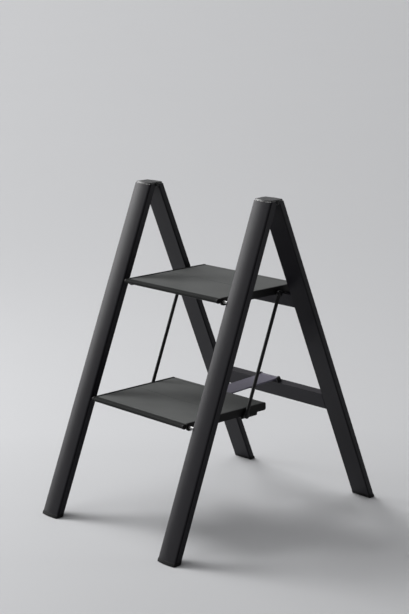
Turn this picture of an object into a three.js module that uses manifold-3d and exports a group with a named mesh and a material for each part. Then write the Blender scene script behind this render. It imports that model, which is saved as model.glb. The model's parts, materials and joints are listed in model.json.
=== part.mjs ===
// Folding two-step stool: an A-frame of four leaning rails, two fold-up treads,
// two side rods that keep the treads level and a centre link from the rear bar.
// Millimetres, +Z up, front towards -Y, origin on the floor at the middle of the base.
import * as THREE from 'three';
import Module from 'manifold-3d';
import { mergeVertices } from 'three/addons/utils/BufferGeometryUtils.js';

const wasm = await Module();
wasm.setup();

// ---- driving dimensions ----
const HEIGHT = 789;
const BASE_DEPTH = 670;
const BASE_WIDTH = 488;
const TOP_WIDTH = 476;
const TILT = THREE.MathUtils.degToRad(21.85);
const GAP = 0.3;
const PIN_SLACK = 0.1;

const FRONT_RAIL = { width: 56, depth: 19, sign: -1 };
const REAR_RAIL = { width: 58, depth: 16.5, sign: 1 };
const RAIL_CROWN = 3;
const RAIL_WALL = 2;
const RAIL_TOP = 785.4;
const CORNER_EASE = 0.8;
const SEAM = { from: 1.2, to: 3.8, depth: 1.8 };
const CAP_SETBACK = 1.2;
const FOOT_HEIGHT = 8;
const FOOT_ROUND = 2;
const FOOT_LIP = 1;
const PLUG_LENGTH = 24;

const HINGE = { y: 1.2, z: 782, pin: 2.8, knuckle: 5.5, clearance: 6, head: 4.4, headThick: 1.3 };
const HINGE_CUT = { near: 170, far: 250 };
const VALLEY = { half: 0.4, reach: 40 };

const TREAD_PIVOT = { y: -101, z: 557.5 };
const TREAD_RISE = 275;
const TREAD = { half: 160, front: -21, rear: 243, top: 8.5, skin: 3.5 };
const NOSING = { depth: 12, height: 10 };
const RIB = { places: [60, 120, 168], depth: 6, width: 3 };
const SIDE_BAR = { thick: 5, bottom: -8.5, lip: 1.2 };
const BOSS = { front: 14, rear: 42, slope: 5, depth: 15.5, round: 3 };
const NOSING_CAP = { proud: 0.6, rear: -11.7 };
const SHAFT_RADIUS = 3.5;
const WASHER = { radius: 7.5, thick: 1.6 };

const ROD = { x: 171, radius: 4.25, eye: 8, thick: 8, pin: 3, along: 173, drop: -6.5 };

const UPPER_BAR = { from: -295, to: -259, front: 4.5 };
const LOWER_BAR = { from: -585, to: -540.4, front: 0 };
const LINK = { half: 29, thick: 3.6, eye: 4.4, pin: 2.4, neck: 8, frontY: 214.2, frontZ: -0.8 };
const LINK_REAR = { y: 208, z: 290.5 };
const LUG = { thick: 3.2, radius: 6.5, gap: 0.8, foot: 12 };

const lean = Math.tan(TILT);
const splay = (BASE_WIDTH - TOP_WIDTH) / 2 / HEIGHT;
const flatDepth = (rail) => rail.depth / Math.cos(TILT);
const lowerPivot = { y: TREAD_PIVOT.y - TREAD_RISE * lean, z: TREAD_PIVOT.z - TREAD_RISE };
const innerFace = (rail, z) => BASE_WIDTH / 2 - splay * z - rail.width;

// ---- finishes ----
const finish = (color, roughness, metalness) =>
  new THREE.MeshStandardMaterial({ color, roughness, metalness });
const blackAluminium = () => finish(0x39393d, 0.42, 0.85);
const treadAluminium = () => finish(0x4a4a4c, 0.5, 0.8);
const blackPlastic = () => finish(0x161618, 0.55, 0);
const blackSteel = () => finish(0x202024, 0.45, 0.6);
const bareSteel = () => finish(0xa8a8aa, 0.3, 1);

const stool = new THREE.Group();

function addMesh(parent, name, geometry, material) {
  const mesh = new THREE.Mesh(geometry, material);
  mesh.name = name;
  parent.add(mesh);
  return mesh;
}

// ---- solids: joining and cutting closed meshes ----
function toSolid(geometry) {
  const bare = geometry.clone();
  bare.deleteAttribute('normal');
  bare.deleteAttribute('uv');
  const merged = mergeVertices(bare, 1e-4);
  return new wasm.Manifold(new wasm.Mesh({
    numProp: 3,
    vertProperties: new Float32Array(merged.attributes.position.array),
    triVerts: new Uint32Array(merged.index.array),
  }));
}

function toGeometry(solid) {
  const mesh = solid.getMesh();
  const geometry = new THREE.BufferGeometry();
  geometry.setAttribute('position', new THREE.BufferAttribute(mesh.vertProperties, 3));
  geometry.setIndex(new THREE.BufferAttribute(mesh.triVerts, 1));
  geometry.computeVertexNormals();
  return geometry;
}

function join(...geometries) {
  return toGeometry(geometries.map(toSolid).reduce((all, next) => all.add(next)));
}

function cut(geometry, ...tools) {
  return toGeometry(tools.map(toSolid).reduce((left, tool) => left.subtract(tool), toSolid(geometry)));
}

// ---- basic forms ----
function box(x0, x1, y0, y1, z0, z1) {
  const geometry = new THREE.BoxGeometry(x1 - x0, y1 - y0, z1 - z0);
  return geometry.translate((x0 + x1) / 2, (y0 + y1) / 2, (z0 + z1) / 2);
}

function cylinderX(radius, x0, x1, y, z, segments = 24) {
  const geometry = new THREE.CylinderGeometry(radius, radius, Math.abs(x1 - x0), segments);
  return geometry.rotateZ(Math.PI / 2).translate((x0 + x1) / 2, y, z);
}

// An outline drawn in Y and Z, extruded along X from x0 to x1.
function extrudeX(shape, x0, x1, curveSegments = 8) {
  const low = Math.min(x0, x1);
  const options = { depth: Math.abs(x1 - x0), bevelEnabled: false, curveSegments };
  const turn = new THREE.Matrix4().set(0, 0, 1, low, 1, 0, 0, 0, 0, 1, 0, 0, 0, 0, 0, 1);
  return new THREE.ExtrudeGeometry(shape, options).applyMatrix4(turn);
}

// Upright stock is drawn with its outer face at y = 0. This turns it to face out, stands it on
// its foot and leans it with its frame, keeping its ends level.
function leanStock(geometry, rail, side) {
  const tiltSlope = -rail.sign * lean;
  const footX = side * (BASE_WIDTH - rail.width) / 2;
  const footY = rail.sign * BASE_DEPTH / 2;
  const shear = new THREE.Matrix4().set(
    1, 0, -side * splay, footX,
    0, 1, tiltSlope, footY,
    0, 0, 1, 0,
    0, 0, 0, 1,
  );
  const turned = rail.sign > 0 ? geometry.rotateZ(Math.PI) : geometry;
  return turned.applyMatrix4(shear);
}

// ---- rails ----
// Both seams of a rail lie beside the face that looks to the front.
function seamSpan(rail) {
  const inner = flatDepth(rail);
  return rail.sign < 0 ? [SEAM.from, SEAM.to] : [inner - SEAM.to, inner - SEAM.from];
}

// Level section of a rail: crowned outer face, a seam along each side, corners eased.
function railOutline(rail) {
  const half = rail.width / 2;
  const inner = flatDepth(rail);
  const [near, far] = seamSpan(rail);
  const shape = new THREE.Shape();
  shape.moveTo(-half + CORNER_EASE, inner);
  shape.lineTo(-half, inner - CORNER_EASE);
  shape.lineTo(-half, far);
  shape.lineTo(-half + SEAM.depth, far);
  shape.lineTo(-half + SEAM.depth, near);
  shape.lineTo(-half, near);
  shape.lineTo(-half, CORNER_EASE);
  shape.lineTo(-half + CORNER_EASE, 0);
  shape.quadraticCurveTo(0, -2 * RAIL_CROWN, half - CORNER_EASE, 0);
  shape.lineTo(half, CORNER_EASE);
  shape.lineTo(half, near);
  shape.lineTo(half - SEAM.depth, near);
  shape.lineTo(half - SEAM.depth, far);
  shape.lineTo(half, far);
  shape.lineTo(half, inner - CORNER_EASE);
  shape.lineTo(half - CORNER_EASE, inner);
  return shape;
}

// The hollow inside a rail, also the outline of the plugs that fill its ends.
function boreOutline(rail, inset) {
  const half = rail.width / 2 - SEAM.depth - RAIL_WALL - inset;
  const outer = RAIL_WALL + inset;
  const inner = flatDepth(rail) - RAIL_WALL - inset;
  const shape = new THREE.Shape();
  shape.moveTo(-half, outer);
  shape.lineTo(half, outer);
  shape.lineTo(half, inner);
  shape.lineTo(-half, inner);
  return shape;
}

function upright(shape, z0, z1) {
  const options = { depth: z1 - z0, bevelEnabled: false, curveSegments: 14 };
  return new THREE.ExtrudeGeometry(shape, options).translate(0, 0, z0);
}

function hingeCylinder(radius, side, segments = 24) {
  return cylinderX(radius, side * HINGE_CUT.near, side * HINGE_CUT.far, HINGE.y, HINGE.z, segments);
}

function makeRail(rail, side) {
  const outline = railOutline(rail);
  outline.holes.push(boreOutline(rail, 0));
  const stock = leanStock(upright(outline, FOOT_HEIGHT + GAP, RAIL_TOP), rail, side);
  return cut(stock, hingeCylinder(HINGE.clearance, side, 32));
}

// The foot's lower edge is rounded: its lowest rings of stock are drawn in along a quarter circle.
function roundSole(sole, rail) {
  const places = sole.attributes.position;
  const middle = flatDepth(rail) / 2;
  for (let i = 0; i < places.count; i += 1) {
    const angle = Math.min(1, places.getZ(i) / (FOOT_HEIGHT / 2)) * Math.PI / 2;
    const inset = FOOT_ROUND * (1 - Math.sin(angle));
    const x = places.getX(i) * (1 - 2 * inset / rail.width);
    const y = middle + (places.getY(i) - middle) * (1 - 2 * inset / rail.depth);
    const raised = places.getZ(i) > FOOT_HEIGHT / 2;
    places.setXYZ(i, x, y, raised ? places.getZ(i) : FOOT_ROUND * (1 - Math.cos(angle)));
  }
  return sole;
}

function makeFoot(rail, side) {
  const options = { depth: FOOT_HEIGHT, steps: 4, bevelEnabled: false };
  const sole = new THREE.ExtrudeGeometry(new THREE.Shape(plainOutline(rail, -FOOT_LIP)), options);
  const plug = upright(boreOutline(rail, GAP), FOOT_HEIGHT - 1, FOOT_HEIGHT + PLUG_LENGTH);
  return leanStock(join(roundSole(sole, rail), plug), rail, side);
}

// A rail's outline without its seams: stands proud for the foot, is set back for the top plate.
// Its inner face stays level with the rail's.
function plainOutline(rail, setback = 0) {
  const half = rail.width / 2 - setback;
  const inner = flatDepth(rail);
  const shape = new THREE.Shape();
  shape.moveTo(-half + CORNER_EASE, inner);
  shape.lineTo(-half, inner - CORNER_EASE);
  shape.lineTo(-half, setback + CORNER_EASE);
  shape.lineTo(-half + CORNER_EASE, setback);
  shape.quadraticCurveTo(0, setback - 2 * RAIL_CROWN, half - CORNER_EASE, setback);
  shape.lineTo(half, setback + CORNER_EASE);
  shape.lineTo(half, inner - CORNER_EASE);
  shape.lineTo(half - CORNER_EASE, inner);
  return shape.getPoints(14);
}

// ---- top hinges ----
// Each cap plugs a rail, covers its end and carries its share of the hinge knuckles.
function knuckleSpans(rail, side) {
  const inner = innerFace(FRONT_RAIL, HINGE.z) + 1;
  const third = (FRONT_RAIL.width - 2) / 3;
  const spans = [0, 1, 2].map((i) => [side * (inner + i * third), side * (inner + (i + 1) * third)]);
  return rail === FRONT_RAIL ? [spans[0], spans[2]] : [spans[1]];
}

function narrowed([a, b], by) {
  return [a + Math.sign(b - a) * by, b - Math.sign(b - a) * by];
}

function makeHingeCap(rail, side) {
  const other = rail === FRONT_RAIL ? REAR_RAIL : FRONT_RAIL;
  const plug = leanStock(upright(boreOutline(rail, GAP), RAIL_TOP - PLUG_LENGTH, HEIGHT - 1), rail, side);
  const plate = leanStock(
    upright(new THREE.Shape(plainOutline(rail, CAP_SETBACK)), RAIL_TOP + GAP, HEIGHT), rail, side);
  const knuckles = knuckleSpans(rail, side).map((span) => {
    const [a, b] = narrowed(span, GAP / 2);
    return cylinderX(HINGE.knuckle, a, b, HINGE.y, HINGE.z, 32);
  });
  const clearances = knuckleSpans(other, side).map(([a, b]) =>
    cylinderX(HINGE.clearance, a, b, HINGE.y, HINGE.z, 32));
  const beyond = -rail.sign * VALLEY.reach;
  const across = [HINGE.y + rail.sign * VALLEY.half, HINGE.y + beyond].sort((a, b) => a - b);
  const ends = [side * HINGE_CUT.near, side * HINGE_CUT.far].sort((a, b) => a - b);
  const valley = box(...ends, ...across, HINGE.z + HINGE.knuckle, HEIGHT + 1);
  const bore = hingeCylinder(HINGE.pin + PIN_SLACK, side);
  return cut(join(plug, plate, ...knuckles), ...clearances, valley, bore);
}

function makeHingePin(side) {
  const inner = innerFace(REAR_RAIL, HINGE.z);
  const outer = inner + REAR_RAIL.width;
  const reach = GAP + HINGE.headThick;
  const stem = cylinderX(HINGE.pin, side * (inner - 1), side * (outer + 1), HINGE.y, HINGE.z);
  const heads = [[inner - reach, inner - GAP], [outer + GAP, outer + reach]].map(([a, b]) =>
    cylinderX(HINGE.head, side * a, side * b, HINGE.y, HINGE.z, 32));
  return join(stem, ...heads);
}

const SIDES = { left: -1, right: 1 };
for (const [sideName, side] of Object.entries(SIDES)) {
  for (const [frameName, rail] of [['front', FRONT_RAIL], ['rear', REAR_RAIL]]) {
    addMesh(stool, `${frameName}_rail_${sideName}`, makeRail(rail, side), blackAluminium());
    addMesh(stool, `${frameName}_foot_${sideName}`, makeFoot(rail, side), blackPlastic());
    addMesh(stool, `${frameName}_hinge_cap_${sideName}`, makeHingeCap(rail, side), blackPlastic());
  }
  addMesh(stool, `hinge_pin_${sideName}`, makeHingePin(side), blackSteel());
}

// ---- treads, drawn about their pivot shaft ----
function panelOutline() {
  const under = TREAD.top - TREAD.skin;
  const beadMid = TREAD.top - NOSING.height / 2;
  const beadRear = TREAD.front + NOSING.depth;
  const shape = new THREE.Shape();
  shape.moveTo(TREAD.rear - 1, TREAD.top);
  for (const [place, width, depth] of [[TREAD.rear - 11, 1, 0.6], [115, 1, 0.6], [beadRear, 1.6, 1.2]]) {
    shape.lineTo(place + width, TREAD.top);
    shape.lineTo(place + width / 2, TREAD.top - depth);
    shape.lineTo(place, TREAD.top);
  }
  const beadRadius = NOSING.height / 2;
  shape.lineTo(TREAD.front + beadRadius, TREAD.top);
  shape.absarc(TREAD.front + beadRadius, beadMid, beadRadius, Math.PI / 2, 1.5 * Math.PI, false);
  shape.lineTo(beadRear, TREAD.top - NOSING.height);
  shape.lineTo(beadRear, under);
  for (const place of RIB.places) {
    shape.lineTo(place, under);
    shape.lineTo(place, under - RIB.depth);
    shape.lineTo(place + RIB.width, under - RIB.depth);
    shape.lineTo(place + RIB.width, under);
  }
  shape.lineTo(TREAD.rear, under);
  shape.lineTo(TREAD.rear, TREAD.top - 1);
  return shape;
}

// Side bar: rounded about the shaft in front, eased corners behind, with a deeper boss for
// the rod on the lower tread.
function sideBarOutline(withBoss) {
  const top = TREAD.top + SIDE_BAR.lip;
  const front = -SIDE_BAR.bottom;
  const ease = 5;
  const shape = new THREE.Shape();
  shape.moveTo(0, SIDE_BAR.bottom);
  if (withBoss) {
    const rear = ROD.along + BOSS.rear;
    shape.lineTo(ROD.along - BOSS.front, SIDE_BAR.bottom);
    shape.lineTo(ROD.along - BOSS.front + BOSS.slope, -BOSS.depth);
    shape.lineTo(rear - 1 - BOSS.round, -BOSS.depth);
    shape.quadraticCurveTo(rear - 1, -BOSS.depth, rear - 1, -BOSS.depth + BOSS.round);
    shape.lineTo(rear, SIDE_BAR.bottom);
  }
  shape.lineTo(TREAD.rear - ease, SIDE_BAR.bottom);
  shape.absarc(TREAD.rear - ease, SIDE_BAR.bottom + ease, ease, -Math.PI / 2, 0, false);
  shape.lineTo(TREAD.rear, top - 3);
  shape.absarc(TREAD.rear - 3, top - 3, 3, 0, Math.PI / 2, false);
  shape.lineTo(2 - front, top);
  shape.quadraticCurveTo(-front, top, -front, top - 3);
  shape.lineTo(-front, 0);
  shape.absarc(0, 0, front, Math.PI, 1.5 * Math.PI, false);
  const bore = new THREE.Path();
  bore.absarc(0, 0, SHAFT_RADIUS + 0.15, 0, 2 * Math.PI, true);
  shape.holes.push(bore);
  return shape;
}

function nosingCapOutline() {
  const radius = NOSING.height / 2 + NOSING_CAP.proud;
  const mid = TREAD.top - NOSING.height / 2;
  const shape = new THREE.Shape();
  shape.moveTo(TREAD.front + radius, mid + radius);
  shape.absarc(TREAD.front + radius - NOSING_CAP.proud, mid, radius, Math.PI / 2, 1.5 * Math.PI, false);
  shape.lineTo(NOSING_CAP.rear, mid - radius);
  shape.lineTo(NOSING_CAP.rear, mid + radius);
  return shape;
}

function makeRodPin(side, y, z) {
  const start = TREAD.half + SIDE_BAR.thick + 2 * GAP;
  const outer = ROD.x + ROD.thick / 2 + GAP;
  const stem = cylinderX(ROD.pin, side * start, side * (outer + 0.5), y, z);
  const head = cylinderX(ROD.pin + 2.2, side * outer, side * (outer + 2), y, z, 28);
  return join(stem, head);
}

function addTread(prefix, pivot, withBoss) {
  const group = new THREE.Group();
  group.position.set(0, pivot.y, pivot.z);
  stool.add(group);
  const panel = extrudeX(panelOutline(), -TREAD.half, TREAD.half);
  addMesh(group, `${prefix}_tread_panel`, panel, treadAluminium());
  const reach = innerFace(FRONT_RAIL, pivot.z + 12) - GAP;
  const shaft = cylinderX(SHAFT_RADIUS, -reach, reach, 0, 0);
  addMesh(group, `${prefix}_pivot_shaft`, shaft, bareSteel());
  for (const [sideName, side] of Object.entries(SIDES)) {
    const barIn = TREAD.half + GAP;
    const barOut = TREAD.half + GAP + SIDE_BAR.thick;
    const bar = extrudeX(sideBarOutline(withBoss), side * barIn, side * barOut);
    addMesh(group, `${prefix}_side_bar_${sideName}`, bar, blackPlastic());
    const cap = extrudeX(nosingCapOutline(), side * barIn, side * barOut, 12);
    addMesh(group, `${prefix}_nosing_cap_${sideName}`, cap, blackPlastic());
    addMesh(group, `${prefix}_rod_pin_${sideName}`, makeRodPin(side, ROD.along, ROD.drop), blackSteel());
    const washer = cut(
      cylinderX(WASHER.radius, side * (reach - WASHER.thick), side * reach, 0, 0, 28),
      cylinderX(SHAFT_RADIUS + GAP, side * (reach - 5), side * (reach + 5), 0, 0));
    addMesh(group, `${prefix}_washer_${sideName}`, washer, blackPlastic());
  }
  return group;
}

addTread('upper', TREAD_PIVOT, false);
const lowerTread = addTread('lower', lowerPivot, true);

// ---- side rods, one beside each end of the treads ----
function makeRod() {
  const top = { y: TREAD_PIVOT.y + ROD.along, z: TREAD_PIVOT.z + ROD.drop };
  const bottom = { y: lowerPivot.y + ROD.along, z: lowerPivot.z + ROD.drop };
  const length = Math.hypot(top.y - bottom.y, top.z - bottom.z);
  const bar = new THREE.CylinderGeometry(ROD.radius, ROD.radius, length, 20)
    .rotateX(Math.PI / 2 - Math.atan2(top.y - bottom.y, top.z - bottom.z))
    .translate(0, (top.y + bottom.y) / 2, (top.z + bottom.z) / 2);
  const eyes = [top, bottom].map(({ y, z }) =>
    cylinderX(ROD.eye, -ROD.thick / 2, ROD.thick / 2, y, z, 32));
  const bores = [top, bottom].map(({ y, z }) =>
    cylinderX(ROD.pin + PIN_SLACK, -ROD.thick, ROD.thick, y, z));
  return cut(join(bar, ...eyes), ...bores);
}

for (const [sideName, side] of Object.entries(SIDES)) {
  addMesh(stool, `side_rod_${sideName}`, makeRod(), blackSteel()).position.x = side * ROD.x;
}

// ---- rear cross bars, drawn in the rear frame's own plane below the hinge ----
const rearPlane = new THREE.Group();
rearPlane.position.set(0, HINGE.y, HINGE.z);
rearPlane.rotation.x = TILT;
stool.add(rearPlane);

const rearFaceY = (BASE_DEPTH / 2 - HINGE.y) * Math.cos(TILT) - HINGE.z * Math.sin(TILT);

function makeCrossBar(bar) {
  const level = HINGE.z + bar.to * Math.cos(TILT);
  const reach = innerFace(REAR_RAIL, level) - GAP;
  const y0 = rearFaceY - REAR_RAIL.depth + bar.front;
  const outer = box(-reach, reach, y0, rearFaceY, bar.from, bar.to);
  const wall = 2;
  const hollow = box(-reach - 5, reach + 5, y0 + wall, rearFaceY - wall, bar.from + wall, bar.to - wall);
  return cut(outer, hollow);
}

addMesh(rearPlane, 'upper_cross_bar', makeCrossBar(UPPER_BAR), blackAluminium());
addMesh(rearPlane, 'lower_cross_bar', makeCrossBar(LOWER_BAR), blackAluminium());

// ---- centre link between the lower cross bar and the underside of the lower tread ----
const linkFront = { y: lowerPivot.y + LINK.frontY, z: lowerPivot.z + LINK.frontZ };

function makeLink() {
  const rise = LINK_REAR.z - linkFront.z;
  const length = Math.hypot(LINK_REAR.y - linkFront.y, rise);
  const half = LINK.thick / 2;
  const shape = new THREE.Shape();
  const open = Math.asin(half / LINK.eye);
  shape.absarc(0, 0, LINK.eye, open, 2 * Math.PI - open, false);
  shape.lineTo(length - LINK.neck, -half);
  shape.absarc(length, 0, LINK.eye, Math.PI + open, 3 * Math.PI - open, false);
  shape.lineTo(LINK.neck, half);
  const bore = new THREE.Path();
  bore.absarc(0, 0, LINK.pin + PIN_SLACK, 0, 2 * Math.PI, true);
  shape.holes.push(bore);
  const plate = extrudeX(shape, -LINK.half, LINK.half, 16);
  return plate.rotateX(Math.asin(rise / length)).translate(0, linkFront.y, linkFront.z);
}

addMesh(stool, 'centre_link', makeLink(), blackAluminium());

// Lugs under the lower tread hold the link's front pin.
function frontLugOutline() {
  const under = TREAD.top - TREAD.skin - GAP;
  const shape = new THREE.Shape();
  shape.moveTo(LINK.frontY - LUG.foot, under);
  shape.lineTo(LINK.frontY - LUG.radius, LINK.frontZ);
  shape.absarc(LINK.frontY, LINK.frontZ, LUG.radius, Math.PI, 2 * Math.PI, false);
  shape.lineTo(LINK.frontY + LUG.foot, under);
  const bore = new THREE.Path();
  bore.absarc(LINK.frontY, LINK.frontZ, LINK.pin + PIN_SLACK, 0, 2 * Math.PI, true);
  shape.holes.push(bore);
  return shape;
}

// Lugs on the lower cross bar stand beside the link's rear end.
function rearLugOutline() {
  const dy = LINK_REAR.y - HINGE.y;
  const dz = LINK_REAR.z - HINGE.z;
  const y = dy * Math.cos(TILT) + dz * Math.sin(TILT);
  const z = dz * Math.cos(TILT) - dy * Math.sin(TILT);
  const foot = LOWER_BAR.to + GAP;
  const shape = new THREE.Shape();
  shape.moveTo(y - LUG.radius, foot);
  shape.lineTo(y + LUG.radius, foot);
  shape.lineTo(y + LUG.radius, z);
  shape.absarc(y, z, LUG.radius, 0, Math.PI, false);
  return shape;
}

for (const [sideName, side] of Object.entries(SIDES)) {
  const near = side * (LINK.half + LUG.gap);
  const far = side * (LINK.half + LUG.gap + LUG.thick);
  addMesh(lowerTread, `link_front_lug_${sideName}`, extrudeX(frontLugOutline(), near, far, 10), blackSteel());
  addMesh(rearPlane, `link_rear_lug_${sideName}`, extrudeX(rearLugOutline(), near, far, 10), blackSteel());
}
const linkPinReach = LINK.half + LUG.gap + LUG.thick + 1.5;
addMesh(lowerTread, 'link_front_pin',
  cylinderX(LINK.pin, -linkPinReach, linkPinReach, LINK.frontY, LINK.frontZ), bareSteel());

export default stool;
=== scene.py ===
import json
import math
from itertools import product

import bmesh
import bpy
from bpy.props import FloatProperty, FloatVectorProperty, PointerProperty
from mathutils import Matrix, Vector


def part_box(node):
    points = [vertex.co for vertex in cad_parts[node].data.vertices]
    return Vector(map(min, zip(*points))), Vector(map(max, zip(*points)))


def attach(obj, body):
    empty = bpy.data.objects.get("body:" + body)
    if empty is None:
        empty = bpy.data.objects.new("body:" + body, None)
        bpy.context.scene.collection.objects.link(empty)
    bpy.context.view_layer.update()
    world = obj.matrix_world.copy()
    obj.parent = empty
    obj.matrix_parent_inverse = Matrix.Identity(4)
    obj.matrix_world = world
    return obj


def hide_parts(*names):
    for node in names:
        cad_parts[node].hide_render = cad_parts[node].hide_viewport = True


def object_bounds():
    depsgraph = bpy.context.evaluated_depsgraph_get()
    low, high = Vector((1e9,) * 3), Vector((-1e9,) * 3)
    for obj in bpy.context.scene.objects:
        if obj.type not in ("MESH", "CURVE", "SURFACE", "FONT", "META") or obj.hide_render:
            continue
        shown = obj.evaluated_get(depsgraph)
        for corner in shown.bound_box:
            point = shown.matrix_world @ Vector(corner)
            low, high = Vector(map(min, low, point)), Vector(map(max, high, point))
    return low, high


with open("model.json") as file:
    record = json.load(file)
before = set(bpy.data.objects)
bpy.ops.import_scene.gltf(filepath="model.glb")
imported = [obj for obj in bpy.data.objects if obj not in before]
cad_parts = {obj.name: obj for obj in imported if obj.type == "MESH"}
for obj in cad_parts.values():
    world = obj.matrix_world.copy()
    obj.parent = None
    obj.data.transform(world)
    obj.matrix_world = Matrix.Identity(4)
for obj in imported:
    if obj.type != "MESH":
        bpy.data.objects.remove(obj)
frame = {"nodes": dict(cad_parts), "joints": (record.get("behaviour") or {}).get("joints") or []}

bl_info = {
    "name": "Two-step folding stool",
    "version": (1, 0, 0),
    "blender": (4, 5, 0),
    "location": "View3D > Sidebar > Stool",
    "description": "Builds the visible pieces of a two-step folding stool round its packed frame",
    "category": "Object",
}

CAD_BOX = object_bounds()
PIVOT = {joint["name"]: Vector(joint["pos_m"]) for joint in frame["joints"]}
HINGE = PIVOT["rear_frame_fold"]
TREADS = {"upper": PIVOT["upper_tread_fold"], "lower": PIVOT["lower_tread_fold"]}
# The side of the middle that each rail and each frame stands on.
SIDES = {"left": -1, "right": 1}
FRAMES = {"front": -1, "rear": 1}
UP = Vector((0, 0, 1))
GAP = 0.0003
SHARP = math.radians(38)
MERGE = 1e-6

# The index of refraction that sets how much of the light each finish mirrors.
SATIN_IOR = 1.26
TREAD_IOR = 1.06
STEEL_IOR = 1.3
# A wave texture's bands repeat at this distance, and the tread's ribs at the next one.
WAVE_PERIOD = math.tau / 20
RIB_PITCH = 0.0022

# Soft lights far off: name, turn from +X, height, apparent width in degrees, and strength.
SOFT_LIGHTS = (
    ("key_low", 194, 18, 34, 1.55),
    ("key_main", 189, 52, 22, 1.32),
    ("key_top", 190, 77, 38, 0.64),
    ("fill_front", 250, 18, 50, 0.44),
)
# Round soft boxes: name, place, target, width, and the property that holds the power.
SOFT_BOXES = (
    ("side_box", (-2.3, -1.15, 1.75), (0, 0, 0.55), 1.3, "side_power"),
    ("rear_box", (1.65, 1.55, 1.0), (0, 0, 0.7), 0.6, "rear_power"),
)
CAMERA_PLACE = Vector((2.7036, -2.4648, 1.3247))
CAMERA_RIGHT = Vector((0.67412, 0.73851, -0.01268))
CAMERA_UP = Vector((-0.15343, 0.15681, 0.97564))
CAMERA_LENS = 91.2
# Painted light falloff: the floor paper is painted lighter away from this ground point, and toward
# one side of it, in place of uneven studio light. The point is below the camera's place and is fixed
# in the world, so the painted falloff stays put in every other view.
FALLOFF_CENTRE = (2.7036, -2.4648, 0)
FALLOFF_SIDEWAYS = (-0.6724, -0.7402, 0)
# The lit background stands this way, and glows between these two cosines of the angle to it.
GLOW_TOWARD = (-0.7225, 0.6558, 0.2190)
GLOW_SPAN = (0.55, 0.88)


# ---------------------------------------------------------------- sizes and colours
class StoolSizes(bpy.types.PropertyGroup):
    """The sizes that shape the stool's pieces"""

    tilt: FloatProperty(
        name="Tilt", description="Lean of both frames from upright",
        default=math.radians(21.85), subtype="ANGLE")
    base_width: FloatProperty(
        name="Base width", description="Outer width of the frames at the floor",
        default=0.488, unit="LENGTH", subtype="DISTANCE")
    top_width: FloatProperty(
        name="Top width", description="Outer width of the frames at the top",
        default=0.476, unit="LENGTH", subtype="DISTANCE")
    base_depth: FloatProperty(
        name="Base depth", description="Distance between the frames' outer faces at the floor",
        default=0.670, unit="LENGTH", subtype="DISTANCE")
    front_rail_width: FloatProperty(
        name="Front rail width", description="Width of a front rail's crowned face",
        default=0.056, unit="LENGTH", subtype="DISTANCE")
    rear_rail_width: FloatProperty(
        name="Rear rail width", description="Width of a rear rail's crowned face",
        default=0.058, unit="LENGTH", subtype="DISTANCE")
    front_rail_depth: FloatProperty(
        name="Front rail depth", description="Thickness of a front rail square to its length",
        default=0.019, unit="LENGTH", subtype="DISTANCE")
    rear_rail_depth: FloatProperty(
        name="Rear rail depth", description="Thickness of a rear rail square to its length",
        default=0.0165, unit="LENGTH", subtype="DISTANCE")
    crown: FloatProperty(
        name="Crown", description="Rise of a rail's outer face at its middle",
        default=0.003, unit="LENGTH", subtype="DISTANCE")
    edge: FloatProperty(
        name="Edge softness", description="Rounding of the metal edges",
        default=0.0003, unit="LENGTH", subtype="DISTANCE")
    moulded_edge: FloatProperty(
        name="Moulded edge", description="Rounding of the moulded plastic edges",
        default=0.0006, unit="LENGTH", subtype="DISTANCE")
    rim: FloatProperty(
        name="Rail rim", description="Bare chamfer round the top end of each rail",
        default=0.0011, unit="LENGTH", subtype="DISTANCE")


class StoolFinishes(bpy.types.PropertyGroup):
    """The colours and gloss of the stool's finishes"""

    rail_colour: FloatVectorProperty(
        name="Rail colour", description="Satin black of the rails and bars",
        default=(0.0100, 0.0094, 0.0122), subtype="COLOR", size=3, min=0, max=1)
    rail_roughness: FloatProperty(
        name="Rail roughness", description="Mean roughness of the rails",
        default=0.36, min=0, max=1)
    tread_colour: FloatVectorProperty(
        name="Tread colour", description="Dark grey of the tread panels",
        default=(0.114, 0.1175, 0.1155), subtype="COLOR", size=3, min=0, max=1)
    tread_roughness: FloatProperty(
        name="Tread roughness", description="Mean roughness of the tread panels",
        default=0.36, min=0, max=1)
    plastic_colour: FloatVectorProperty(
        name="Plastic colour", description="Black of the moulded pieces",
        default=(0.0042, 0.0042, 0.0045), subtype="COLOR", size=3, min=0, max=1)
    steel_colour: FloatVectorProperty(
        name="Coated steel colour", description="Black of the rods, pins and lugs",
        default=(0.008, 0.008, 0.0086), subtype="COLOR", size=3, min=0, max=1)
    bare_colour: FloatVectorProperty(
        name="Bare metal colour", description="Bright metal of the shafts and cut rims",
        default=(0.60, 0.60, 0.59), subtype="COLOR", size=3, min=0, max=1)
    floor_colour: FloatVectorProperty(
        name="Floor colour", description="Pale studio floor",
        default=(0.595, 0.60, 0.612), subtype="COLOR", size=3, min=0, max=1)


class StoolStudio(bpy.types.PropertyGroup):
    """The studio's light"""

    soft_strength: FloatProperty(
        name="Soft light strength", description="Strength of the far soft lights together",
        default=1.0, min=0)
    side_power: FloatProperty(
        name="Side power", description="Power of the soft box at the front left",
        default=15.0, min=0, unit="POWER")
    rear_power: FloatProperty(
        name="Rear power", description="Power of the small soft box behind the stool",
        default=3.5, min=0, unit="POWER")
    sky_strength: FloatProperty(
        name="Sky strength", description="Strength of the even light all round",
        default=0.16, min=0)
    glow_strength: FloatProperty(
        name="Glow strength", description="Strength of the lit background beyond the floor",
        default=0.34, min=0)


# ---------------------------------------------------------------- node helpers
def shaded(colour, amount):
    return tuple(min(1.0, c * amount) for c in colour)


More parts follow.
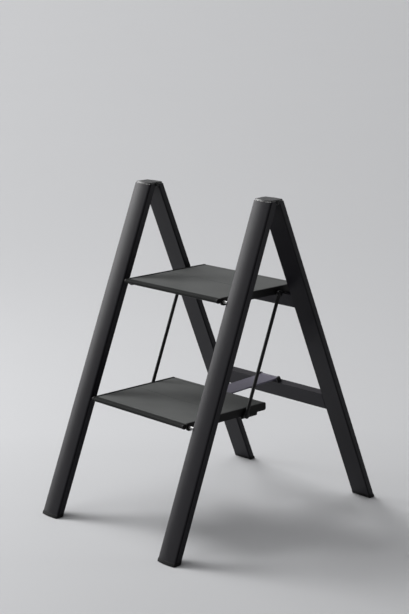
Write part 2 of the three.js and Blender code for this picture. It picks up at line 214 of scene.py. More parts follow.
class Nodes:
    """Adds and joins the nodes of one material."""

    def __init__(self, material):
        material.use_nodes = True
        self.tree = material.node_tree
        self.tree.nodes.clear()
        self.shader = self.add("ShaderNodeBsdfPrincipled")
        output = self.add("ShaderNodeOutputMaterial")
        self.join(self.shader.outputs["BSDF"], output.inputs["Surface"])
        self.place = self.add("ShaderNodeTexCoord").outputs["Object"]

    def add(self, kind, **values):
        node = self.tree.nodes.new(kind)
        for key, value in values.items():
            setattr(node, key, value)
        return node

    def join(self, source, target):
        self.tree.links.new(source, target)

    def mapped(self, scale, turn=(0, 0, 0)):
        node = self.add("ShaderNodeMapping")
        node.inputs["Scale"].default_value = scale
        node.inputs["Rotation"].default_value = turn
        self.join(self.place, node.inputs["Vector"])
        return node.outputs["Vector"]

    def vector(self, operation, source, second=None):
        node = self.add("ShaderNodeVectorMath", operation=operation)
        self.join(source, node.inputs[0])
        if second is not None:
            node.inputs[1].default_value = second
        return node.outputs["Value" if operation in ("DOT_PRODUCT", "LENGTH") else "Vector"]

    def noise(self, place, scale, detail, roughness=0.55):
        node = self.add("ShaderNodeTexNoise")
        node.inputs["Scale"].default_value = scale
        node.inputs["Detail"].default_value = detail
        node.inputs["Roughness"].default_value = roughness
        self.join(place, node.inputs["Vector"])
        return node.outputs["Fac"]

    def ranged(self, source, span, new_span):
        """Takes a value from its place in one span to the same place in another."""
        node = self.add("ShaderNodeMapRange")
        for name, value in zip(("From Min", "From Max", "To Min", "To Max"), (*span, *new_span)):
            node.inputs[name].default_value = value
        self.join(source, node.inputs["Value"])
        return node.outputs["Result"]

    def sum(self, first, second, weight):
        """The first value plus a weighted second one."""
        node = self.add("ShaderNodeMath", operation="MULTIPLY_ADD")
        self.join(second, node.inputs[0])
        node.inputs[1].default_value = weight
        self.join(first, node.inputs[2])
        return node.outputs["Value"]

    def coloured(self, factor, span, colour, shades):
        """Runs the base colour between two shades of one colour as a factor crosses its span."""
        node = self.add("ShaderNodeMix", data_type="RGBA")
        self.join(self.ranged(factor, span, (0, 1)), node.inputs["Factor"])
        for name, amount in zip("AB", shades):
            node.inputs[name].default_value = (*shaded(colour, amount), 1)
        mixed = next(socket for socket in node.outputs if socket.type == "RGBA")
        self.join(mixed, self.shader.inputs["Base Color"])

    def rough(self, factor, span, limits):
        self.join(self.ranged(factor, span, limits), self.shader.inputs["Roughness"])

    def bump(self, height, distance, strength):
        node = self.add("ShaderNodeBump")
        node.inputs["Distance"].default_value = distance
        node.inputs["Strength"].default_value = strength
        self.join(height, node.inputs["Height"])
        self.join(node.outputs["Normal"], self.shader.inputs["Normal"])


def made_once(name, build):
    material = bpy.data.materials.get(name)
    if material is None:
        material = bpy.data.materials.new(name)
        build(Nodes(material))
    return material


# ---------------------------------------------------------------- finishes
def rail_material(frame_name):
    """Satin black anodised extrusion: fine draw lines along the rail over a soft blasted grain."""
    looks = bpy.context.scene.stool_finishes
    turn = (-FRAMES[frame_name] * bpy.context.scene.stool_sizes.tilt, 0, 0)

    def build(n):
        lines = n.noise(n.mapped((1500, 1500, 5), turn), 1.0, 2.0)
        grain = n.noise(n.place, 1900, 2.0)
        clouds = n.noise(n.mapped((9, 9, 2.2), turn), 1.0, 4.0)
        scuffs = n.noise(n.mapped((46, 46, 9), turn), 1.0, 6.0, 0.7)
        n.coloured(n.sum(clouds, lines, 0.25), (0.35, 0.9), looks.rail_colour, (0.86, 1.18))
        gloss = n.sum(n.sum(clouds, scuffs, 0.45), lines, 0.2)
        n.rough(gloss, (0.5, 1.1), (looks.rail_roughness - 0.05, looks.rail_roughness + 0.06))
        n.shader.inputs["IOR"].default_value = SATIN_IOR
        n.bump(n.sum(lines, grain, 0.6), 0.00002, 0.5)

    return made_once(f"{frame_name}_rail_black", build)


def bar_material(name="bar_black", amount=1.5):
    """The rails' satin black on stock that lies across the stool."""
    looks = bpy.context.scene.stool_finishes

    def build(n):
        lines = n.noise(n.mapped((5, 1500, 1500)), 1.0, 2.0)
        grain = n.noise(n.place, 1900, 2.0)
        clouds = n.noise(n.mapped((3, 9, 9)), 1.0, 4.0)
        shades = (0.86 * amount, 1.18 * amount)
        n.coloured(n.sum(clouds, lines, 0.25), (0.35, 0.9), looks.rail_colour, shades)
        limits = (looks.rail_roughness, looks.rail_roughness + 0.08)
        n.rough(n.sum(clouds, lines, 0.3), (0.45, 0.9), limits)
        n.shader.inputs["IOR"].default_value = SATIN_IOR
        n.bump(n.sum(lines, grain, 0.6), 0.00002, 0.5)

    return made_once(name, build)


def link_material():
    """The grey of the plate between the lower tread and the rear frame."""
    return bar_material("link_grey", 13.0)


def tread_material(name="tread_grey", amount=1.0):
    """Dark grey anodised panel: fine ribs along the tread, with faint drawn lines and scuffs."""
    looks = bpy.context.scene.stool_finishes

    def build(n):
        ribs = n.add(
            "ShaderNodeTexWave", wave_type="BANDS", bands_direction="Y", wave_profile="SIN")
        ribs.inputs["Scale"].default_value = 1.0
        n.join(n.mapped((0, WAVE_PERIOD / RIB_PITCH, 0)), ribs.inputs["Vector"])
        grain = n.noise(n.place, 1700, 2.0)
        lines = n.noise(n.mapped((6, 1300, 1300)), 1.0, 2.0)
        clouds = n.noise(n.mapped((8, 11, 8)), 1.0, 4.0)
        scuffs = n.noise(n.mapped((60, 26, 40)), 1.0, 7.0, 0.72)
        shades = (0.88 * amount, 1.14 * amount)
        n.coloured(n.sum(clouds, lines, 0.25), (0.35, 0.9), looks.tread_colour, shades)
        gloss = n.sum(n.sum(clouds, scuffs, 0.4), lines, 0.2)
        n.rough(gloss, (0.5, 1.1), (looks.tread_roughness - 0.05, looks.tread_roughness + 0.07))
        n.shader.inputs["IOR"].default_value = TREAD_IOR
        n.bump(n.sum(n.sum(lines, grain, 0.5), ribs.outputs["Fac"], 0.8), 0.00002, 0.5)

    return made_once(name, build)


def nosing_shade_material():
    """The tread's grey at under a quarter of its brightness: painted shade on the nosing faces that
    turn down and forward.
    """
    return tread_material("nosing_dark", 0.22)


def plastic_material(name="moulded_black", amount=1.0, ior=1.24, roughness=0.5):
    """Moulded plastic with a fine spark-eroded grain."""
    looks = bpy.context.scene.stool_finishes

    def build(n):
        cells = n.add("ShaderNodeTexVoronoi", feature="SMOOTH_F1")
        cells.inputs["Scale"].default_value = 1400
        n.join(n.place, cells.inputs["Vector"])
        clouds = n.noise(n.place, 24, 4.0)
        fine = n.noise(n.place, 2300, 2.0)
        n.coloured(clouds, (0.3, 0.7), looks.plastic_colour, (0.85 * amount, 1.25 * amount))
        n.rough(n.sum(clouds, fine, 0.3), (0.4, 0.9), (roughness - 0.06, roughness + 0.06))
        n.shader.inputs["IOR"].default_value = ior
        n.bump(n.sum(cells.outputs["Distance"], fine, 0.4), 0.00004, 0.6)

    return made_once(name, build)


def cap_material():
    """The smoother, glossier plastic of the hinge caps."""
    return plastic_material("moulded_gloss", 2.0, 1.5, 0.28)


def steel_material():
    """Black coated steel: a slight orange-peel texture under a soft gloss."""
    looks = bpy.context.scene.stool_finishes

    def build(n):
        peel = n.noise(n.place, 420, 2.0, 0.4)
        fine = n.noise(n.place, 2600, 2.0)
        clouds = n.noise(n.place, 18, 4.0)
        n.coloured(clouds, (0.3, 0.7), looks.steel_colour, (0.85, 1.2))
        n.rough(n.sum(clouds, fine, 0.3), (0.4, 0.9), (0.34, 0.46))
        n.shader.inputs["IOR"].default_value = STEEL_IOR
        n.bump(n.sum(peel, fine, 0.25), 0.00005, 0.5)

    return made_once("coated_steel", build)


def bare_material():
    """Bright turned steel with fine rings round the shaft."""
    looks = bpy.context.scene.stool_finishes

    def build(n):
        rings = n.noise(n.mapped((2600, 12, 12)), 1.0, 3.0)
        stains = n.noise(n.place, 90, 5.0, 0.6)
        n.coloured(n.sum(stains, rings, 0.4), (0.4, 1.0), looks.bare_colour, (0.8, 1.1))
        n.rough(n.sum(rings, stains, 0.5), (0.4, 1.1), (0.22, 0.4))
        n.shader.inputs["Metallic"].default_value = 1.0
        n.bump(rings, 0.00002, 0.4)

    return made_once("bare_steel", build)


def cut_rim_material():
    """The sawn and chamfered end of a rail, where bare aluminium shows."""
    looks = bpy.context.scene.stool_finishes

    def build(n):
        marks = n.noise(n.mapped((2200, 60, 60)), 1.0, 3.0)
        stains = n.noise(n.place, 130, 4.0)
        n.coloured(n.sum(stains, marks, 0.4), (0.4, 1.0), looks.bare_colour, (0.72, 1.05))
        n.rough(marks, (0.3, 0.7), (0.42, 0.55))
        n.shader.inputs["Metallic"].default_value = 1.0
        n.bump(marks, 0.00003, 0.5)

    return made_once("cut_rim", build)


def floor_material():
    """Matt studio paper with a painted light falloff, lighter away from a ground point and toward
    one side, over a faint random mottle.
    """
    looks = bpy.context.scene.stool_finishes

    def build(n):
        # Painted light falloff: the distance and bearing from a ground point below the camera set
        # how light the paper is painted, with a faint random mottle added.
        place = n.vector("SUBTRACT", n.place, FALLOFF_CENTRE)
        bearing = n.vector("NORMALIZE", n.vector("MULTIPLY", place, (1, 1, 0)))
        across = n.ranged(n.vector("DOT_PRODUCT", bearing, FALLOFF_SIDEWAYS), (-0.138, 0.138), (0, 1))
        away = n.ranged(n.vector("LENGTH", place), (2.9, 4.3), (0, 1))
        clouds = n.noise(n.place, 0.7, 3.0)
        falloff_and_mottle = n.sum(n.sum(across, away, 1.1), clouds, 0.1)
        n.coloured(falloff_and_mottle, (0, 2.15), looks.floor_colour, (0.76, 1.09))
        n.shader.inputs["Roughness"].default_value = 0.75
        n.shader.inputs["Specular IOR Level"].default_value = 0.15

    return made_once("studio_floor_paper", build)


# ---------------------------------------------------------------- modelling helpers
def bevelled(bm, geom, width, segments, affect="EDGES"):
    return bmesh.ops.bevel(
        bm, geom=geom, offset=width, offset_type="OFFSET", affect=affect, segments=segments,
        profile=0.5, material=-1, clamp_overlap=True)["faces"]


def soften(bm, edges, width, segments):
    """Rounds the edges, and keeps the flat faces beside them flat in the shading."""
    rounded = set(bevelled(bm, edges, width, segments))
    for face in rounded:
        for edge in face.edges:
            if any(f not in rounded for f in edge.link_faces):
                edge.smooth = False


def sharp_edges(bm, shortest=0):
    """The creases between two faces, leaving out the shortest ones."""
    return [
        e for e in bm.edges
        if len(e.link_faces) == 2 and e.calc_face_angle(0) > SHARP and e.calc_length() > shortest]


def above(edge, height):
    return all(vert.co.z > height for vert in edge.verts)


def filled(bm, chain):
    """Joins a chain of vertices with edges, and fills the outline that they close."""
    for pair in zip(chain, chain[1:]):
        bm.edges.new(pair)
    return bmesh.ops.contextual_create(bm, geom=bm.edges)["faces"][0]


def widened(bm, verts, amounts, centre):
    """Scales vertices along X and Y about a centre."""
    middle = Matrix.Translation((-centre[0], -centre[1], 0))
    bmesh.ops.scale(bm, verts=verts, vec=(*amounts, 1), space=middle)


def raised(bm, face, offset, amounts=(1, 1), centre=(0, 0)):
    """Pushes a face out, scales its outline about a centre, and returns the new end face."""
    made = bmesh.ops.extrude_face_region(bm, geom=[face])["geom"]
    moved = [item for item in made if isinstance(item, bmesh.types.BMVert)]
    bmesh.ops.translate(bm, verts=moved, vec=offset)
    widened(bm, moved, amounts, centre)
    return next(item for item in made if isinstance(item, bmesh.types.BMFace))


def turned(bm, profile, centre, segments=48):
    """Spins a profile of (x, radius) points about an axis along X, and closes ends that reach it."""
    verts = [bm.verts.new((x, centre[1] + radius, centre[2])) for x, radius in profile]
    edges = [bm.edges.new(pair) for pair in zip(verts, verts[1:])]
    if profile[0][1] > 0:
        edges.append(bm.edges.new((verts[-1], verts[0])))
    bmesh.ops.spin(
        bm, geom=verts + edges, cent=(0, centre[1], centre[2]), axis=(1, 0, 0),
        angle=math.tau, steps=segments, use_merge=True)
    bmesh.ops.remove_doubles(bm, verts=bm.verts, dist=MERGE)


def pin_profile(start, end, radius, ease):
    return [
        (start, 0), (start, radius - ease), (start + ease, radius),
        (end - ease, radius), (end, radius - ease), (end, 0)]


def ring_profile(start, end, inner, outer, ease):
    return [
        (start, inner), (start, outer - ease), (start + ease, outer),
        (end - ease, outer), (end, outer - ease), (end, inner)]


def tidy_mesh(bm):
    bmesh.ops.remove_doubles(bm, verts=bm.verts, dist=MERGE)
    bmesh.ops.recalc_face_normals(bm, faces=bm.faces)
    for face in bm.faces:
        face.smooth = True
    for edge in bm.edges:
        if len(edge.link_faces) != 2 or edge.calc_face_angle(0) > SHARP:
            edge.smooth = False


def placed(name, data):
    item = bpy.data.objects.new(name, data)
    bpy.context.scene.collection.objects.link(item)
    return item


def meshed(bm, name):
    mesh = bpy.data.meshes.new(name)
    bm.to_mesh(mesh)
    bm.free()
    return mesh


def finished(bm, name, body, materials, nodes, mirror=False):
    """Makes the object of a piece, hides the nodes that it stands for and sets what it rides on."""
    if mirror:
        bmesh.ops.scale(bm, verts=bm.verts, vec=(-1, 1, 1))
    tidy_mesh(bm)
    mesh = meshed(bm, name)
    for material in materials:
        mesh.materials.append(material)
    piece = placed(name, mesh)
    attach(piece, body)
    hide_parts(*nodes)


def node_copy(node):
    """A merged copy of a frame node's mesh, with its flat faces joined again."""
    bm = bmesh.new()
    bm.from_mesh(frame["nodes"][node].data)
    bmesh.ops.remove_doubles(bm, verts=bm.verts, dist=2 * MERGE)
    bmesh.ops.dissolve_limit(
        bm, angle_limit=math.radians(0.4), verts=bm.verts, edges=bm.edges, delimit=set())
    for face in bm.faces:
        face.material_index = 0
    return bm


def softened_copy(node, ending, body, material, width, segments, shortest=0):
    """Makes a piece in the shape of a frame node, with its sharp edges rounded."""
    bm = node_copy(node)
    soften(bm, sharp_edges(bm, shortest), width, segments)
    finished(bm, f"{node}_{ending}", body, [material], [node])


def right_hand_span(node, side):
    """A node's two ends along X, as they would be on the right-hand side."""
    low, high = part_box(node)
    return (low.x, high.x) if side > 0 else (-high.x, -low.x)


def rail_width(sizes, frame_name):
    return sizes.front_rail_width if frame_name == "front" else sizes.rear_rail_width


def flat_depth(sizes, frame_name):
    """A rail's thickness measured level, along Y."""
    depth = sizes.front_rail_depth if frame_name == "front" else sizes.rear_rail_depth
    return depth / math.cos(sizes.tilt)


def lean_matrix(sizes, frame_name):
    """From a rail's level section, outer face at y = 0, to its place on the right-hand side."""
    sign = FRAMES[frame_name]
    slope = math.tan(sizes.tilt)
    splay = (sizes.base_width - sizes.top_width) / 2 / CAD_BOX[1].z
    across = (sizes.base_width - rail_width(sizes, frame_name)) / 2
    return Matrix((
        (1, 0, -splay, across),
        (0, -sign, -sign * slope, sign * sizes.base_depth / 2),
        (0, 0, 1, 0),
        (0, 0, 0, 1),
    ))


def crowned_section(bm, half, inner, crown, ease):
    """A rail's level section: a flat inner face, two sides, and an outer face bowed out."""
    radius = (half * half + crown * crown) / (2 * crown)
    start = bm.verts.new((half, 0, 0))
    bmesh.ops.spin(
        bm, geom=[start], cent=(0, radius - crown, 0), axis=(0, 0, 1),
        angle=-2 * math.asin(half / radius), steps=18)
    last = min(bm.verts, key=lambda v: v.co.x)
    corners = [bm.verts.new((-half, inner, 0)), bm.verts.new((half, inner, 0))]
    filled(bm, [last, *corners, start])
    bevelled(bm, [start, last, *corners], ease, 3, "VERTICES")
    bm.faces.ensure_lookup_table()
    return bm.faces[0]


# ---------------------------------------------------------------- operators
class STOOL_OT_rails(bpy.types.Operator):
    """Build the four rails, with softened edges and a bare rim at each top end"""

    bl_idname = "stool.rails"
    bl_label = "Rails"

    def execute(self, context):
        sizes = context.scene.stool_sizes
        for frame_name, side_name in product(FRAMES, SIDES):
            node = f"{frame_name}_rail_{side_name}"
            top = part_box(node)[1].z
            bm = node_copy(node)
            ends = [e for e in sharp_edges(bm) if above(e, top - 1e-5)]
            soften(bm, [e for e in ends if self.outside(e, ends)], sizes.rim, 1)
            soften(bm, sharp_edges(bm, 0.0012), sizes.edge, 2)
            bmesh.ops.recalc_face_normals(bm, faces=bm.faces)
            for face in bm.faces:
                high = face.calc_center_median().z > top - sizes.rim
                face.material_index = int(high and face.normal.z > 0.25)
            finished(
                bm, f"{node}_skin", f"{frame_name}_frame",
                [rail_material(frame_name), cut_rim_material()], [node])
        return {"FINISHED"}

    @staticmethod
    def outside(edge, ends):
        """True for an edge on the outline of the rail's end, not round its bore or hinge notch."""
        places = [v.co for e in ends for v in e.verts]
        middle = (edge.verts[0].co + edge.verts[1].co) / 2
        for axis, margin in enumerate((0.0022, 0.0034)):
            low = min(p[axis] for p in places)
            high = max(p[axis] for p in places)
            nearer = low if middle[axis] < (low + high) / 2 else high
            if abs(middle[axis] - nearer) < margin:
                return True
        return False


class STOOL_OT_feet(bpy.types.Operator):
    """Build the four moulded feet with their rounded soles and the plugs that hold them"""

    bl_idname = "stool.feet"
    bl_label = "Feet"

    def execute(self, context):
        sizes = context.scene.stool_sizes
        height = 0.008
        lip = 0.0008
        corner_ease = 0.0016
        plug_inset = 0.0052
        plug_length = 0.024
        plug_taper = (0.99, 0.97)
        for frame_name, (side_name, side) in product(FRAMES, SIDES.items()):
            bm = bmesh.new()
            half = rail_width(sizes, frame_name) / 2
            inner = flat_depth(sizes, frame_name)
            section = crowned_section(bm, half + lip, inner + lip, sizes.crown, corner_ease)
            bmesh.ops.translate(bm, verts=bm.verts, vec=(0, -lip, 0))
            middle = (0, (inner - lip) / 2)
            shape = (2 * (half + lip), inner + lip)
            self.sole(bm, section, height, shape, middle)
            soften(bm, [e for e in bm.edges if above(e, height - MERGE)], sizes.moulded_edge, 3)
            upper = max(
                bm.faces, key=lambda f: (round(f.calc_center_median().z, 6), f.calc_area()))
            inset = [1 - 2 * plug_inset / size for size in shape]
            upper = raised(bm, upper, Vector(), inset, middle)
            raised(bm, upper, UP * plug_length, plug_taper, middle)
            bmesh.ops.transform(bm, matrix=lean_matrix(sizes, frame_name), verts=bm.verts)
            node = f"{frame_name}_foot_{side_name}"
            finished(
                bm, f"{node}_moulding", f"{frame_name}_frame",
                [plastic_material()], [node], mirror=side < 0)
        return {"FINISHED"}

    @staticmethod
    def sole(bm, section, height, shape, middle):
        """Raises a foot from the ground: a shallow recess below, a rounded edge, then its side."""
        radius = 0.002
        steps = 6
        recess = 0.0008
        angles = [math.pi / 2 * i / steps for i in range(steps + 1)]
        widths = [[1 - 2 * radius * (1 - math.sin(a)) / size for size in shape] for a in angles]
        widened(bm, bm.verts, widths[0], middle)
        face = section
        level = 0
        for index in range(1, steps + 1):
            rise = radius * (1 - math.cos(angles[index]))
            grow = [new / old for new, old in zip(widths[index], widths[index - 1])]
            face = raised(bm, face, UP * (rise - level), grow, middle)
            level = rise
        raised(bm, face, UP * (height - level))
        under = min(bm.faces, key=lambda f: (round(f.calc_center_median().z, 6), -f.calc_area()))
        under = raised(bm, under, Vector(), (0.86, 0.66), middle)
        raised(bm, under, UP * recess, (0.98, 0.94), middle)


class STOOL_OT_hinge_caps(bpy.types.Operator):
    """Build the four top caps that close the rails and carry the hinge knuckles"""

    bl_idname = "stool.hinge_caps"
    bl_label = "Hinge caps"

    def execute(self, context):
        edge = context.scene.stool_sizes.edge
        for frame_name, side_name in product(FRAMES, SIDES):
            softened_copy(
                f"{frame_name}_hinge_cap_{side_name}", "moulding", f"{frame_name}_frame",
                cap_material(), edge, 2, 0.002)
        return {"FINISHED"}


class STOOL_OT_hinge_pins(bpy.types.Operator):
    """Build the two hinge pins with their domed heads"""

    bl_idname = "stool.hinge_pins"
    bl_label = "Hinge pins"

    def execute(self, context):
        stem = 0.0028
        head = 0.0044
        thick = 0.0013
        for side_name, side in SIDES.items():
            node = f"hinge_pin_{side_name}"
            inner, outer = right_hand_span(node, side)
            profile = [
                (inner, 0), (inner, head * 0.55),
                (inner + 0.0003, head - 0.0005), (inner + 0.0007, head),
                (inner + thick, head), (inner + thick, stem),
                (outer - thick, stem), (outer - thick, head),
                (outer - 0.0007, head), (outer - 0.0003, head - 0.0005),
                (outer, head * 0.55), (outer, 0)]
            bm = bmesh.new()
            turned(bm, profile, HINGE)
            finished(
                bm, f"{node}_turned", "front_frame", [steel_material()], [node],
                mirror=side < 0)
        return {"FINISHED"}


class STOOL_OT_tread_panels(bpy.types.Operator):
    """Build the two tread panels with their rounded nosings, grooves and under ribs"""

    bl_idname = "stool.tread_panels"
    bl_label = "Tread panels"

    NOSING_DEPTH = 0.012
    NOSING_THICKNESS = 0.010
    SKIN = 0.0035
    RIB_PLACES = (0.081, 0.141, 0.189)
    RIB_WIDTH = 0.003
    RIB_DROP = 0.006

    def execute(self, context):
        edge = context.scene.stool_sizes.edge * 0.6
        for tread in TREADS:
            node = f"{tread}_tread_panel"
            low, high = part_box(node)
            bm = bmesh.new()
            raised(bm, self.section(bm, low, high), Vector((high.x - low.x, 0, 0)))
            bm.normal_update()
            soften(bm, sharp_edges(bm, 0.0004), edge, 2)
            bm.normal_update()
            # Painted shade: nosing faces that turn down and forward take the darkened copy of the
            # tread grey.
            for face in bm.faces:
                in_front = face.calc_center_median().y < low.y + self.NOSING_DEPTH
                face.material_index = int(in_front and face.normal.z < 0.72)
            finished(
                bm, f"{node}_extrusion", f"{tread}_tread",
                [tread_material(), nosing_shade_material()], [node])
        return {"FINISHED"}

    def section(self, bm, low, high):
        """The panel's outline at its left end, from the nosing round under the skin and back."""
        top = high.z
        under = top - self.SKIN
        front = low.y
        rear = high.y
        nosing_end = front + self.NOSING_DEPTH
        radius = self.NOSING_THICKNESS / 2
        start = bm.verts.new((low.x, front + radius, top))
        bmesh.ops.spin(
            bm, geom=[start], cent=(low.x, front + radius, top - radius), axis=(1, 0, 0),
            angle=math.pi, steps=14)
        last = min(bm.verts, key=lambda v: v.co.z)
        if min(v.co.y for v in bm.verts) > front + 1e-5:
            raise RuntimeError("the nosing was turned the wrong way")
        corners = [(nosing_end, top - self.NOSING_THICKNESS), (nosing_end, under)]
        for place in self.RIB_PLACES:
            rib = front + place
            corners += [
                (rib, under), (rib, under - self.RIB_DROP),
                (rib + self.RIB_WIDTH, under - self.RIB_DROP), (rib + self.RIB_WIDTH, under)]
        corners += [(rear, under), (rear, top)]
        grooves = (
            (rear - 0.011, 0.001, 0.0006),
            (front + 0.136, 0.001, 0.0006),
            (nosing_end, 0.0016, 0.0012),
        )
        for place, width, depth in grooves:
            corners += [
                (place + width, top), (place + width, top - depth),
                (place, top - depth), (place, top)]
        return filled(bm, [last, *(bm.verts.new((low.x, y, z)) for y, z in corners), start])


class STOOL_OT_side_bars(bpy.types.Operator):
    """Build the moulded bars along both ends of the treads"""

    bl_idname = "stool.side_bars"
    bl_label = "Side bars"

    def execute(self, context):
        edge = context.scene.stool_sizes.moulded_edge
        for tread, side_name in product(TREADS, SIDES):
            softened_copy(
                f"{tread}_side_bar_{side_name}", "moulding", f"{tread}_tread",
                plastic_material(), edge, 3)
        return {"FINISHED"}


class STOOL_OT_nosing_caps(bpy.types.Operator):
    """Build the small caps that close the nosings"""

    bl_idname = "stool.nosing_caps"
    bl_label = "Nosing caps"

    def execute(self, context):
        edge = context.scene.stool_sizes.moulded_edge
        for tread, side_name in product(TREADS, SIDES):
            softened_copy(
                f"{tread}_nosing_cap_{side_name}", "moulding", f"{tread}_tread",
                plastic_material(), edge, 3)
        return {"FINISHED"}


class STOOL_OT_pivots(bpy.types.Operator):
    """Build the bright pivot shafts and the washers at their ends"""

    bl_idname = "stool.pivots"
    bl_label = "Pivot shafts and washers"

    RADIUS = 0.0035
    EASE = 0.0004

    def execute(self, context):
        for tread, pivot in TREADS.items():
            node = f"{tread}_pivot_shaft"
            bm = bmesh.new()
            turned(bm, self.shaft_profile(*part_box(node)), pivot)
            finished(
                bm, f"{node}_turned", "front_frame", [bare_material()], [node])
            for side_name, side in SIDES.items():
                node = f"{tread}_washer_{side_name}"
                low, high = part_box(node)
                outer = (high.z - low.z) / 2
                start, end = right_hand_span(node, side)
                bm = bmesh.new()
                turned(bm, ring_profile(start, end, self.RADIUS + GAP, outer, 0.0003), pivot)
                finished(
                    bm, f"{node}_turned", "front_frame",
                    [plastic_material()], [node], mirror=side < 0)
        return {"FINISHED"}

    def shaft_profile(self, low, high):
        """A shaft with eased ends and a narrow clip groove near each."""
        rounded = self.RADIUS - self.EASE
        floor = self.RADIUS - 0.0005
        near = 0.0042
        far = 0.0050
        groove = [(near, self.RADIUS), (near, floor), (far, floor), (far, self.RADIUS)]
        return [
            (low.x, 0), (low.x, rounded), (low.x + self.EASE, self.RADIUS),
            *((low.x + x, radius) for x, radius in groove),
            *((high.x - x, radius) for x, radius in reversed(groove)),
            (high.x - self.EASE, self.RADIUS), (high.x, rounded), (high.x, 0)]


class STOOL_OT_rods(bpy.types.Operator):
    """Build the two side rods with their eyes, and the headed pins that hold them"""

    bl_idname = "stool.rods"
    bl_label = "Side rods"

    def execute(self, context):
        radius = 0.00425
        eye = 0.008
        bore = 0.0031
        thick = 0.008
        bite = 0.002
        for side_name, side in SIDES.items():
            node = f"side_rod_{side_name}"
            x = abs(sum(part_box(node), Vector()).x / 2)
            top, bottom = (
                sum(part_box(f"{tread}_rod_pin_{side_name}"), Vector()) / 2 for tread in TREADS)
            top.x = bottom.x = x
            run = top - bottom
            bm = bmesh.new()
            bmesh.ops.create_cone(
                bm, cap_ends=True, segments=32, radius1=radius, radius2=radius,
                depth=run.length - 2 * (eye - bite))
            soften(bm, sharp_edges(bm), 0.0003, 2)
            bmesh.ops.rotate(
                bm, verts=bm.verts, cent=(0, 0, 0), matrix=UP.rotation_difference(run).to_matrix())
            bmesh.ops.translate(bm, verts=bm.verts, vec=(top + bottom) / 2)
            for centre in (top, bottom):
                turned(bm, ring_profile(x - thick / 2, x + thick / 2, bore, eye, 0.0007), centre)
            finished(
                bm, f"{node}_bar", f"{side_name}_rod", [steel_material()], [node],
                mirror=side < 0)
            for tread in TREADS:
                self.pin(tread, side_name, side)
        return {"FINISHED"}

    @staticmethod
    def pin(tread, side_name, side):
        node = f"{tread}_rod_pin_{side_name}"
        low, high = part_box(node)
        inner, outer = right_hand_span(node, side)
        stem = 0.003
        head = (high.z - low.z) / 2
        profile = [
            (inner, 0), (inner, stem), (outer - 0.002, stem), (outer - 0.002, head),
            (outer - 0.0009, head), (outer - 0.0004, head - 0.0006),
            (outer, head * 0.6), (outer, 0)]
        bm = bmesh.new()
        turned(bm, profile, (low + high) / 2, 40)
        finished(
            bm, f"{node}_turned", f"{tread}_tread", [steel_material()], [node],
            mirror=side < 0)


class STOOL_OT_cross_bars(bpy.types.Operator):
    """Build the two hollow cross bars of the rear frame"""

    bl_idname = "stool.cross_bars"
    bl_label = "Cross bars"

    def execute(self, context):
        for node in ("upper_cross_bar", "lower_cross_bar"):
            softened_copy(
                node, "tube", "rear_frame", bar_material(), 0.0008, 3)
        return {"FINISHED"}


class STOOL_OT_centre_link(bpy.types.Operator):
    """Build the flat centre link, its lugs and its front pin"""

    bl_idname = "stool.centre_link"
    bl_label = "Centre link"

    def execute(self, context):
        edge = context.scene.stool_sizes.edge
        softened_copy(
            "centre_link", "plate", "centre_link", link_material(), edge, 2)
        for end, body in (("front", "lower_tread"), ("rear", "rear_frame")):
            for side_name in SIDES:
                softened_copy(
                    f"link_{end}_lug_{side_name}", "plate", body,
                    steel_material(), 0.0005, 3)
        node = "link_front_pin"
        low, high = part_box(node)
        bm = bmesh.new()
        profile = pin_profile(low.x, high.x, (high.z - low.z) / 2, 0.0004)
        turned(bm, profile, (low + high) / 2, 36)
        finished(bm, f"{node}_turned", "lower_tread", [bare_material()], [node])
        return {"FINISHED"}


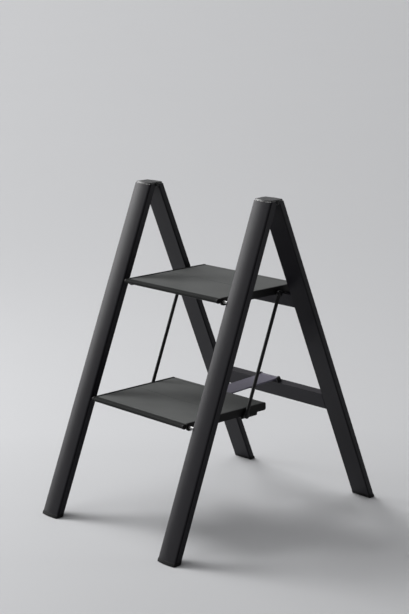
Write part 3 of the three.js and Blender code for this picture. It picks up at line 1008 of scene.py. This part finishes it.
class STOOL_OT_stage(bpy.types.Operator):
    """Lay the pale floor, set the soft light and place the camera"""

    bl_idname = "stool.stage"
    bl_label = "Stage"

    def execute(self, context):
        studio = context.scene.stool_studio
        self.floor()
        self.sky(studio.sky_strength, studio.glow_strength)
        for name, turn, height, width, strength in SOFT_LIGHTS:
            self.soft_light(name, turn, height, width, strength * studio.soft_strength)
        for name, place, target, size, power in SOFT_BOXES:
            self.soft_box(name, Vector(place), Vector(target), size, getattr(studio, power))
        self.camera(context.scene)
        context.scene.view_settings.view_transform = "Standard"
        return {"FINISHED"}

    @staticmethod
    def floor():
        bm = bmesh.new()
        bmesh.ops.create_circle(bm, cap_ends=True, segments=96, radius=90)
        mesh = meshed(bm, "studio_floor")
        mesh.materials.append(floor_material())
        placed("studio_floor", mesh)

    @staticmethod
    def sky(strength, glow):
        """Dim all round, and brighter low down where the lit background stands."""
        world = bpy.data.worlds.new("studio_sky")
        world.use_nodes = True
        tree = world.node_tree
        background = tree.nodes["Background"]
        background.inputs["Color"].default_value = (1.0, 1.0, 1.02, 1)
        direction = tree.nodes.new("ShaderNodeTexCoord")
        toward = tree.nodes.new("ShaderNodeVectorMath")
        toward.operation = "DOT_PRODUCT"
        toward.inputs[1].default_value = GLOW_TOWARD
        spread = tree.nodes.new("ShaderNodeMapRange")
        spread.interpolation_type = "SMOOTHSTEP"
        limits = (*GLOW_SPAN, strength, glow)
        for name, value in zip(("From Min", "From Max", "To Min", "To Max"), limits):
            spread.inputs[name].default_value = value
        tree.links.new(direction.outputs["Generated"], toward.inputs[0])
        tree.links.new(toward.outputs["Value"], spread.inputs["Value"])
        tree.links.new(spread.outputs["Result"], background.inputs["Strength"])
        bpy.context.scene.world = world

    @staticmethod
    def soft_light(name, turn, height, width, strength):
        data = bpy.data.lights.new(name, "SUN")
        data.energy = strength
        data.angle = math.radians(width)
        light = placed(name, data)
        around = Matrix.Rotation(math.radians(turn), 3, "Z")
        toward = around @ Matrix.Rotation(-math.radians(height), 3, "Y")
        light.rotation_mode = "QUATERNION"
        light.rotation_quaternion = (toward @ Vector((1, 0, 0))).to_track_quat("Z", "Y")

    @staticmethod
    def soft_box(name, place, target, size, power):
        data = bpy.data.lights.new(name, "AREA")
        data.shape = "DISK"
        data.size = size
        data.energy = power
        light = placed(name, data)
        light.location = place
        light.rotation_mode = "QUATERNION"
        light.rotation_quaternion = (target - place).to_track_quat("-Z", "Y")

    @staticmethod
    def camera(scene):
        data = bpy.data.cameras.new("view")
        data.lens = CAMERA_LENS
        data.sensor_width = 36
        data.sensor_fit = "AUTO"
        data.clip_start = 0.05
        data.clip_end = 400
        back = CAMERA_RIGHT.cross(CAMERA_UP).normalized()
        axes = (CAMERA_RIGHT.normalized(), back.cross(CAMERA_RIGHT).normalized(), back)
        camera = placed("view", data)
        camera.matrix_world = (
            Matrix.Translation(CAMERA_PLACE) @ Matrix(axes).transposed().to_4x4())
        scene.camera = camera


STEPS = (
    STOOL_OT_rails, STOOL_OT_feet, STOOL_OT_hinge_caps, STOOL_OT_hinge_pins, STOOL_OT_tread_panels,
    STOOL_OT_side_bars, STOOL_OT_nosing_caps, STOOL_OT_pivots, STOOL_OT_rods, STOOL_OT_cross_bars,
    STOOL_OT_centre_link, STOOL_OT_stage,
)


class STOOL_PT_panel(bpy.types.Panel):
    """The stool's sizes, finishes and building steps"""

    bl_label = "Two-step stool"
    bl_idname = "STOOL_PT_panel"
    bl_space_type = "VIEW_3D"
    bl_region_type = "UI"
    bl_category = "Stool"

    def draw(self, context):
        scene = context.scene
        for group in (scene.stool_sizes, scene.stool_finishes, scene.stool_studio):
            box = self.layout.box()
            for name in group.__annotations__:
                box.prop(group, name)
        for step in STEPS:
            self.layout.operator(step.bl_idname)


CLASSES = (StoolSizes, StoolFinishes, StoolStudio, *STEPS, STOOL_PT_panel)


def register():
    for kind in CLASSES:
        bpy.utils.register_class(kind)
    bpy.types.Scene.stool_sizes = PointerProperty(type=StoolSizes)
    bpy.types.Scene.stool_finishes = PointerProperty(type=StoolFinishes)
    bpy.types.Scene.stool_studio = PointerProperty(type=StoolStudio)


def unregister():
    for name in ("stool_sizes", "stool_finishes", "stool_studio"):
        delattr(bpy.types.Scene, name)
    for kind in reversed(CLASSES):
        bpy.utils.unregister_class(kind)


def main():
    register()
    for step in STEPS:
        getattr(bpy.ops.stool, step.bl_idname.split(".")[1])()


if __name__ == "__main__":
    main()
